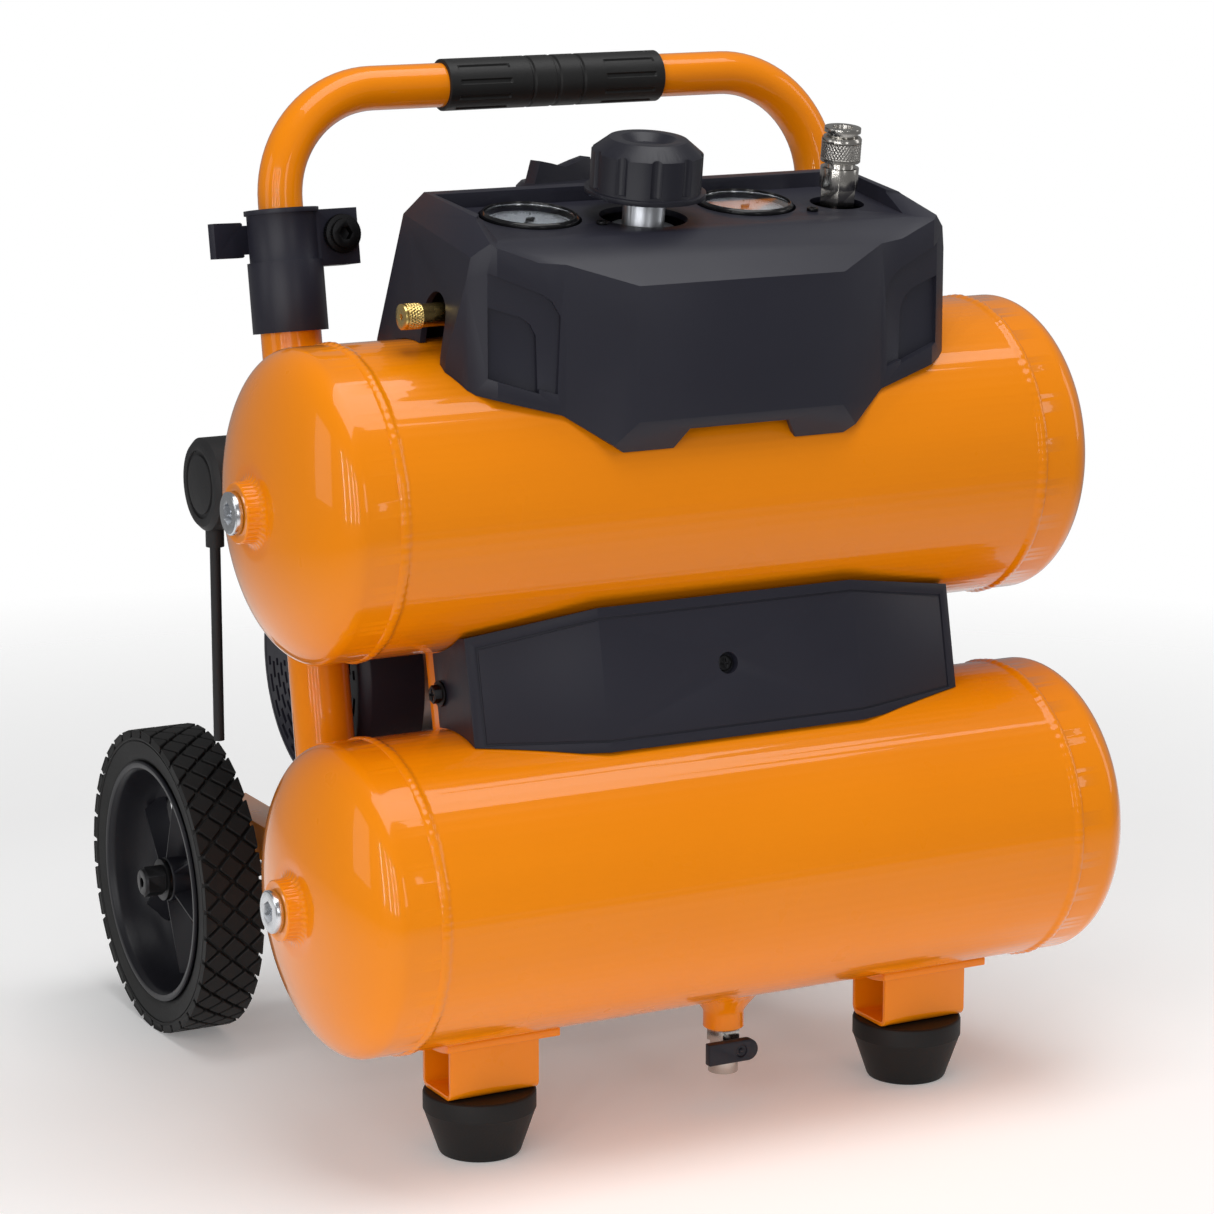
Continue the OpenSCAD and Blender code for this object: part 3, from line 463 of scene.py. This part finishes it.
def tread_blocks(around, half, top, floor):
    """Diamond blocks on a drum about Z: rows of full diamonds, and split ones over each shoulder."""
    points, faces = [], []
    step, rise, groove = 2 * math.pi / around, half / 2, 0.0011
    slant, blunt, tall, drop = 1.3, 0.12, 0.88, 0.0052

    def at(turn, h, r):
        points.append((r * math.cos(turn), r * math.sin(turn), h))
        return len(points) - 1

    for row in range(-2, 3):
        for k in range(around):
            mid, level = step * (k + (0.5 if row % 2 else 0)), row * rise
            loops = []
            for r, slack in ((floor, -0.0004), (top - 0.0005, 0.0), (top, 0.0005)):
                reach = groove + slack
                a, b = step / 2 - reach * slant / top, rise - reach * slant
                if abs(row) < 2:
                    corners = [(a, 0), (a * blunt, b * tall), (-a * blunt, b * tall), (-a, 0),
                               (-a * blunt, -b * tall), (a * blunt, -b * tall)]
                else:
                    way = -1 if row > 0 else 1
                    lip = way * (0.0002 - slack)
                    tip = way * b * tall
                    corners = [(a, lip), (a * blunt, tip), (-a * blunt, tip), (-a, lip)]
                loops.append([at(mid + x, level + y, r) for x, y in corners])
            count = len(loops[0])
            if abs(row) == 2:
                edge = 1 if row > 0 else -1
                foot_a = at(mid + a * 1.02, level + edge * 0.0002, top - drop)
                foot_b = at(mid - a * 1.02, level + edge * 0.0002, top - drop)
                faces.append((loops[1][0], loops[1][-1], foot_b, foot_a))
                faces.append((loops[0][0], loops[1][0], foot_a))
                faces.append((loops[0][-1], foot_b, loops[1][-1]))
            for lower, upper in zip(loops, loops[1:]):
                for j in range(count):
                    nxt = (j + 1) % count
                    faces.append((lower[j], lower[nxt], upper[nxt], upper[j]))
            hub = at(mid, level - (0 if abs(row) < 2 else (1 if row > 0 else -1) * b * 0.3), top)
            for j in range(count):
                faces.append((loops[-1][j], loops[-1][(j + 1) % count], hub))
    return solid_of("tread", points, faces)


tyre_outline = [(0.0783, 0.0150), (0.0800, 0.0164), (0.0830, 0.0180), (0.0860, 0.0186), (0.0930, 0.0194),
                (0.0941, 0.0196), (0.0944, 0.0190), (0.0950, 0.0190), (0.0953, 0.0197), (0.0962, 0.0200),
                (0.0968, 0.0200), (0.0975, 0.0190), (0.0985, 0.0178), (0.0992, 0.0165)]
tyre_outline += [(r, -h) for r, h in reversed(tyre_outline)]
for side, body in ((-1, "left_wheel"), (1, "right_wheel")):
    name = "left_tyre" if side < 0 else "right_tyre"
    low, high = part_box(("left" if side < 0 else "right") + "_tyre")
    hub = Vector(((low.x + high.x) / 2, (low.y + high.y) / 2, (low.z + high.z) / 2))
    stand = Matrix.Translation(hub) @ Matrix.Rotation(side * math.pi / 2, 4, "Y")
    mesh = turned(name + "_carcass", tyre_outline, 144)
    carcass = piece(name + "_carcass", mesh, body, tyre_rubber, 35, stand)
    mesh = tread_blocks(35, 0.020, 0.102, 0.0988)
    blocks = piece(name + "_blocks", mesh, body, tyre_rubber, 25, stand)
    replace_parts(carcass, name)
    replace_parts(blocks, name)


# Wheels: rims, axle and nuts.
# One-piece moulded rims with a deep barrel and six folded spokes on a plain steel axle,
# held by black flanged cap nuts.
def moulded(name, shade, rough, grain, depth=0.00004):
    """Injection-moulded plastic: a fine spark-eroded grain, faint flow clouds and handling scuffs."""
    skin = Finish(name, Specular_IOR_Level=0.3)
    cloud = skin.noise(14, 4)
    fine = skin.noise(grain, 3)
    scuff = skin.ramp(skin.noise(90, 6, 0.75), 0.62, 0.8)
    colour = skin.blend(cloud, shade, tuple(1.25 * c for c in shade))
    colour = skin.blend(scuff * 0.12, colour, tuple(3.0 * c for c in shade))
    normal = skin.bump(fine, depth, skin.bump(cloud, 0.0003))
    return skin.feed(Base_Color=colour, Roughness=rough + 0.12 * cloud + 0.1 * scuff, Normal=normal)


rim_plastic = moulded("rim_plastic", (0.0075, 0.0075, 0.0105), 0.3, 1100)
barrel = [(0.0780, -0.0150), (0.0780, 0.0150), (0.0796, 0.0166), (0.0808, 0.0184), (0.0806, 0.0194),
          (0.0796, 0.0200), (0.0778, 0.0200), (0.0764, 0.0194), (0.0756, 0.0180), (0.0748, 0.0172),
          (0.0742, 0.0150), (0.0732, 0.0090), (0.0716, 0.0020), (0.0690, -0.0050), (0.0660, -0.0092),
          (0.0632, -0.0112), (0.0618, -0.0124), (0.0622, -0.0138), (0.0700, -0.0150)]


def spokes():
    """Six folded spokes, narrow at the hub and wide at the barrel, with a sharp ridge along the middle."""
    points, faces = [], []
    for k in range(6):
        turn = Matrix.Rotation(k * math.pi / 3, 3, "Z")
        rings = []
        for j in range(9):
            t = j / 8
            r = 0.0125 + 0.054 * t
            half = 0.0042 + 0.0125 * t ** 1.3
            ridge = 0.0075 - 0.0080 * t
            edge = -0.0060 - 0.0058 * t ** 1.5
            section = [(-half, edge), (-half * 0.45, edge + (ridge - edge) * 0.45), (-0.0006, ridge),
                       (0.0006, ridge), (half * 0.45, edge + (ridge - edge) * 0.45), (half, edge),
                       (half, edge - 0.0030), (half * 0.3, edge + (ridge - edge) * 0.4 - 0.003),
                       (-half * 0.3, edge + (ridge - edge) * 0.4 - 0.003), (-half, edge - 0.0030)]
            count = len(section)
            rings.append([len(points) + n for n in range(count)])
            points += [tuple(turn @ Vector((r, y, z))) for y, z in section]
        for inner, outer in zip(rings, rings[1:]):
            for n in range(count):
                after = (n + 1) % count
                faces.append((inner[n], inner[after], outer[after], outer[n]))
        faces += [tuple(rings[0]), tuple(reversed(rings[-1]))]
    return solid_of("spokes", points, faces)


hub_outline = [(0.00605, -0.0196), (0.0140, -0.0196), (0.0150, -0.0186), (0.0156, -0.0100), (0.0150, 0.0060),
               (0.0146, 0.0074), (0.0138, 0.0080), (0.00605, 0.0080)]
for side, body in ((-1, "left_wheel"), (1, "right_wheel")):
    name = ("left" if side < 0 else "right") + "_rim"
    low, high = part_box(name)
    hub = Vector(((low.x + high.x) / 2, (low.y + high.y) / 2, (low.z + high.z) / 2))
    stand = Matrix.Translation(hub) @ Matrix.Rotation(side * math.pi / 2, 4, "Y")
    for part, mesh, crease in (("barrel", turned("barrel", barrel, 144), 30), ("spokes", spokes(), 24),
                               ("hub", turned("hub", hub_outline, 72), 35)):
        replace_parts(piece(name + "_" + part, mesh, body, rim_plastic, crease, stand), name)

black_oxide = plated("black_oxide", (0.035, 0.035, 0.037), 0.34)
turned_steel = plated("turned_steel", (0.52, 0.52, 0.52), 0.3)
eased("axle_nuts", 0.0006, black_oxide)
dress(turned_steel, "axle")


# Console.
# A deep satin moulding that straddles the upper tank, with a raised rim round the sunken panel
# and nested steps in both front cheeks, fixed by two small screws.
console_plastic = moulded("console_plastic", (0.0165, 0.0165, 0.0255), 0.34, 1300)
eased("console_shell", 0.0014, console_plastic, 3)
eased("panel_screws", 0.0003, black_oxide)


# Gauges.
# Two panel gauges: gloss black cups with a thick bezel, printed white dials, black pointers
# and clear lenses.
gauge_black = moulded("gauge_black", (0.008, 0.008, 0.009), 0.08, 1500, 0.00001)
pointer_black = moulded("pointer_black", (0.01, 0.01, 0.01), 0.3, 1500)
eased("gauge_cups", 0.0005, gauge_black)
dress(pointer_black, "left_needle", "right_needle")
tilt = Matrix.Rotation(math.radians(7.5), 4, "X")


def dial_print():
    """White card with two rings of ticks and a coloured arc, all laid out round the card's own centre."""
    card = Finish("dial_print", IOR=1.45)
    x, y, _ = card.parts()
    radius = (x * x + y * y).maths("SQRT")
    turn = y.maths("ARCTAN2", x)
    sweep = (turn + math.pi / 2 + 2 * math.pi).maths("MODULO", 2 * math.pi)
    on_scale = (sweep > math.radians(44)) * (sweep < math.radians(316))

    def ticks(step, inner, outer, thick):
        off = ((sweep - math.radians(45)) * (1 / math.radians(step)) + 0.5).maths("FRACT") - 0.5
        near = off.maths("ABSOLUTE") * math.radians(step) * radius < thick
        return near * (radius > inner) * (radius < outer) * on_scale

    marks = (ticks(27, 0.0165, 0.0220, 0.00045) + ticks(5.4, 0.0195, 0.0220, 0.0002)).maths("MINIMUM", 1.0)
    arc = (radius > 0.0228) * (radius < 0.0244) * on_scale
    danger = arc * (sweep > math.radians(250))
    cloud = card.noise(120, 3)
    colour = card.blend(cloud, (0.80, 0.83, 0.88), (0.86, 0.88, 0.92))
    colour = card.blend(marks, colour, (0.01, 0.01, 0.012))
    colour = card.blend(arc * 0.9, colour, (0.05, 0.05, 0.055))
    colour = card.blend(danger, colour, (0.65, 0.03, 0.01))
    normal = card.bump(marks + arc, 0.00003, card.bump(card.noise(1500, 2), 0.00001))
    return card.feed(Base_Color=colour, Roughness=0.35 + 0.15 * cloud, Normal=normal)


dial_white = dial_print()
dial_r = 0.0262
dial_outline = [(0.0015, 0.0), (dial_r, 0.0), (dial_r, 0.0006), (0.0258, 0.0008), (0.0018, 0.0008),
                (0.0015, 0.0006)]
low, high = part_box("gauge_dials")
for name, x in (("left_dial", low.x + dial_r), ("right_dial", high.x - dial_r)):
    place = Matrix.Translation((x, (low.y + high.y) / 2, (low.z + high.z) / 2)) @ tilt
    card = piece(name, turned(name, dial_outline, 96), "frame", dial_white, 30,
                 place @ Matrix.Translation((0, 0, -0.0004)))
    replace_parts(card, "gauge_dials")

lens = Finish("lens_glass", Transmission_Weight=1.0, IOR=1.49)
lens_mark = lens.noise(300, 5, 0.8)
lens_tint = lens.blend(lens_mark, (0.93, 0.96, 1.0), (0.99, 1.0, 1.0))
lens_rough = 0.02 + 0.06 * lens.ramp(lens_mark, 0.6, 0.8)
lens_clear = lens.feed(Base_Color=lens_tint, Roughness=lens_rough, Normal=lens.bump(lens_mark, 0.00001))
dress(lens_clear, "gauge_lenses")


# Pressure regulator.
# A zinc die-cast body rising through the panel, with a large fluted knob that has a wide skirt.
knob_plastic = moulded("knob_plastic", (0.0125, 0.0125, 0.0190), 0.34, 1500, 0.00003)
cast_zinc = plated("cast_zinc", (0.56, 0.58, 0.62), 0.3)
eased("regulator_knob", 0.0007, knob_plastic)
eased("regulator_body", 0.0005, cast_zinc)
cast_alloy = plated("cast_alloy", (0.56, 0.57, 0.59), 0.42, 0.00006)
eased("manifold", 0.0008, cast_alloy)


# Quick coupler.
# Nickel-plated brass: a hexagon, a plain barrel, a knurled spring sleeve and an end ring.
nickel = plated("nickel", (0.50, 0.48, 0.45), 0.16)


def knurl(start, end, across, depth, reach=0.0118):
    """Crossed spiral cuts between two heights, on whatever lies beyond the radius reach."""
    lead = 1900

    def cut(r, h, angle):
        if not start < h < end or r < reach:
            return 0
        return -depth * (0.5 + 0.5 * math.cos(across * angle + h * lead)) * 0.5 \
            - depth * (0.5 + 0.5 * math.cos(across * angle - h * lead)) * 0.5
    return cut


low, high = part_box("coupler_sleeve")
coupler_place = Matrix.Translation((low + high) / 2) @ tilt @ Matrix.Translation((0, 0, -0.008))
sleeve_outline = [(0.00955, 0.0158), (0.00955, 0.0002), (0.0098, 0), (0.0120, 0), (0.0125, 0.0005),
                  (0.0125, 0.0016), (0.0120, 0.0018), (0.0120, 0.0024), (0.0125, 0.0026)]
sleeve_outline += [(0.0125, 0.0026 + 0.0098 * k / 40) for k in range(1, 41)]
sleeve_outline += [(0.0120, 0.0126), (0.0120, 0.0132), (0.0125, 0.0134), (0.0124, 0.0146), (0.0116, 0.0158),
                   (0.0098, 0.0160)]
sleeve_mesh = turned("knurled_sleeve", sleeve_outline, 288, ripple=knurl(0.0027, 0.0123, 36, 0.0005))
sleeve = piece("knurled_sleeve", sleeve_mesh, "quick_sleeve", nickel, 40, coupler_place)
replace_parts(sleeve, "coupler_sleeve")
eased("coupler_body", 0.0005, nickel)


# Relief valve.
# Turned brass, knurled at its outer end and drilled through the middle.
brass = plated("brass", (0.78, 0.56, 0.20), 0.18)
eased("relief_valve", 0.0004, brass)
low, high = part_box("relief_valve")
head_r = 0.0077
head_outline = [(head_r - 0.0008, 0.0020), (head_r - 0.0001, 0.0021)]
head_outline += [(head_r + 0.0002, 0.0022 + 0.0092 * k / 36) for k in range(37)]
head_outline += [(head_r - 0.0001, 0.0115), (head_r - 0.0008, 0.0116)]
head_end = Matrix.Translation((low.x, (low.y + high.y) / 2, (low.z + high.z) / 2))
head_place = head_end @ Matrix.Rotation(math.pi / 2, 4, "Y")
head = turned("relief_knurl", head_outline, 240, ripple=knurl(0.0021, 0.0115, 26, 0.0005, head_r))
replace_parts(piece("relief_knurl", head, "frame", brass, 40, head_place), "relief_valve")
eased("check_valve", 0.0005, brass)


# Pressure switch.
# A moulded switch box on its own riser behind the console, with a winged on-off knob.
eased("pressure_switch", 0.0012, knob_plastic)
eased("switch_knob", 0.0010, knob_plastic, 3)


# Cover between the tanks.
# A three-sided moulding whose ends turn in between the tanks, held by black screws.
eased("mid_cover", 0.0009, console_plastic, 3)
eased("cover_screws", 0.0004, black_oxide)


# Drain valve.
# A nickel-plated mini ball valve with a black lever and a small screw.
eased("drain_valve", 0.0006, nickel)
eased("drain_lever", 0.0008, knob_plastic)


# Pump: motor, crankcases, cylinders, heads and pipes.
# A double-ended motor in black drives one finned alloy cylinder at each side.
black_powder = moulded("black_powder", (0.014, 0.014, 0.015), 0.4, 600, 0.0001)
eased("motor_housing", 0.0006, black_powder)
eased("terminal_box", 0.0012, console_plastic)
eased("cable_gland", 0.0005, knob_plastic)
for node in ("crankcases", "cylinders", "heads", "delivery_pipe"):
    eased(node, 0.0006, cast_alloy)
dress(cast_alloy, "left_piston", "right_piston")
dress(turned_steel, "rotor")
dress(knob_plastic, "fans")
eased("pump_deck", 0.0006, black_powder)
eased("pump_cradle", 0.0006, black_powder)


# Fan covers.
# Moulded cowls at both ends of the pump; each face is a grille of short slots in rings.
def grille(thick):
    """A disc with rings of short slots: long ones near the middle, shorter ones further out."""
    sectors = 144
    rings = [0.014, 0.020, 0.0228, 0.0262, 0.029, 0.0324, 0.0352, 0.0386, 0.0414, 0.0448, 0.0476, 0.051,
             0.0538, 0.0572, 0.060, 0.0634, 0.0662, 0.0696, 0.0735, 0.0762]
    shape = bmesh.new()
    rows = [[shape.verts.new((r * math.cos(k * math.tau / sectors), r * math.sin(k * math.tau / sectors), 0))
             for k in range(sectors)] for r in rings]
    heart = shape.verts.new((0, 0, 0))
    for k in range(sectors):
        after = (k + 1) % sectors
        shape.faces.new((heart, rows[0][k], rows[0][after]))
        for n in range(1, len(rows)):
            slot_row = 2 < n < len(rows) - 1 and n % 2 == 1
            long = 9 if n < 9 else 6
            in_slot = (k + (long // 2) * (n // 2 % 2)) % long < long - 2
            if slot_row and in_slot and k % 36 not in (0, 1, 34, 35):
                continue
            shape.faces.new((rows[n - 1][k], rows[n][k], rows[n][after], rows[n - 1][after]))
    grown = bmesh.ops.extrude_face_region(shape, geom=shape.faces[:])
    back = [corner for corner in grown["geom"] if isinstance(corner, bmesh.types.BMVert)]
    bmesh.ops.translate(shape, vec=(0, 0, -thick), verts=back)
    bmesh.ops.recalc_face_normals(shape, faces=shape.faces)
    mesh = bpy.data.meshes.new("grille")
    shape.to_mesh(mesh)
    shape.free()
    return mesh


cowl_outline = [(0.0820, 0.0002), (0.0820, 0.0362), (0.0816, 0.0374), (0.0772, 0.0424), (0.0760, 0.0430),
                (0.0735, 0.0430), (0.0735, 0.0400), (0.0750, 0.0400), (0.0790, 0.0355), (0.0790, 0.0002)]
low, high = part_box("fan_covers")
for side in (-1, 1):
    place = Matrix.Translation((side * (high.x - 0.043), (low.y + high.y) / 2, (low.z + high.z) / 2)) \
        @ Matrix.Rotation(side * math.pi / 2, 4, "Y")
    name = "left" if side < 0 else "right"
    mesh = turned("cowl", cowl_outline, 144)
    drum = piece(name + "_cowl", mesh, "frame", console_plastic, 30, place)
    outer_end = place @ Matrix.Translation((0, 0, 0.0428))
    face = piece(name + "_grille", grille(0.0028), "frame", console_plastic, 30, outer_end)
    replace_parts(drum, "fan_covers")
    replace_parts(face, "fan_covers")


# Silencers.
# Intake filter drums with a stepped outer cap and a long square-cut snorkel hanging down.
filter_plastic = moulded("filter_plastic", (0.017, 0.017, 0.018), 0.5, 500, 0.0001)
eased("silencers", 0.0010, filter_plastic)


# Clamps and levers.
# Moulded collars with a split lug; a knurled nut faces the front and a cam lever the back.
eased("clamps", 0.0010, console_plastic)
eased("left_lever", 0.0014, console_plastic, 3)
eased("right_lever", 0.0014, console_plastic, 3)
eased("clamp_nuts", 0.0004, black_oxide)
lean = Matrix.Rotation(math.radians(-9.5), 4, "X")
nut_tiers = (("outer", 0.0119, 0.0003, 0.0042, 46), ("inner", 0.0091, 0.0048, 0.0077, 36))
for side in (-1, 1):
    front = Matrix.Translation((side * 0.1605, -0.01295, 0.300)) @ lean \
        @ Matrix.Translation((0, -0.0143, 0.2475)) @ Matrix.Rotation(math.pi / 2, 4, "X")
    for tier, radius, start, end, teeth in nut_tiers:
        nut_outline = [(radius - 0.0010, start), (radius - 0.0002, start), (radius, start + 0.0004),
                       (radius, end - 0.0004), (radius - 0.0002, end), (radius - 0.0010, end)]
        name = ("left" if side < 0 else "right") + "_nut_" + tier

        def flutes(r, h, angle):
            return 0.0004 * math.cos(teeth * angle) if r > 0.0087 else 0

        nut = turned(name, nut_outline, teeth * 4, ripple=flutes)
        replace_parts(piece(name, nut, "frame", black_oxide, 40, front), "clamp_nuts")


# Grip.
# A rubber sleeve on the handle bar with three ring grooves and rows of slots at both ends.
grip_rubber = rubber("grip_rubber", 0.009, 0.42, 900)
low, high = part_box("grip")
grip_half = (high.x - low.x) / 2


def grip_cut(r, h, angle):
    """Three ring grooves round the middle and ten rows of slots at each end."""
    if r < 0.0155:
        return 0
    cut = 0
    for ring in (-0.018, 0.0, 0.018):
        if abs(h - ring) < 0.0011:
            cut = 0.0010
    reach = abs(h)
    if 0.034 < reach < 0.070:
        spread = (angle * 10 / math.tau) % 1.0
        if 0.36 < spread < 0.64:
            cut = 0.0011
    return -cut


grip_rows = sorted({round(-grip_half + 0.0005 + (2 * grip_half - 0.001) * k / 150, 5) for k in range(151)})
grip_outline = [(0.01405, -grip_half), (0.0158, -grip_half)] + [(0.0165, h) for h in grip_rows] \
    + [(0.0158, grip_half), (0.01405, grip_half)]
grip_mesh = turned("grip_sleeve", grip_outline, 120, ripple=grip_cut)
grip_place = Matrix.Translation((low + high) / 2) @ lean @ Matrix.Rotation(math.pi / 2, 4, "Y")
sleeve = piece("grip_sleeve", grip_mesh, "carry_handle", grip_rubber, 34, grip_place)
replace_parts(sleeve, "grip")
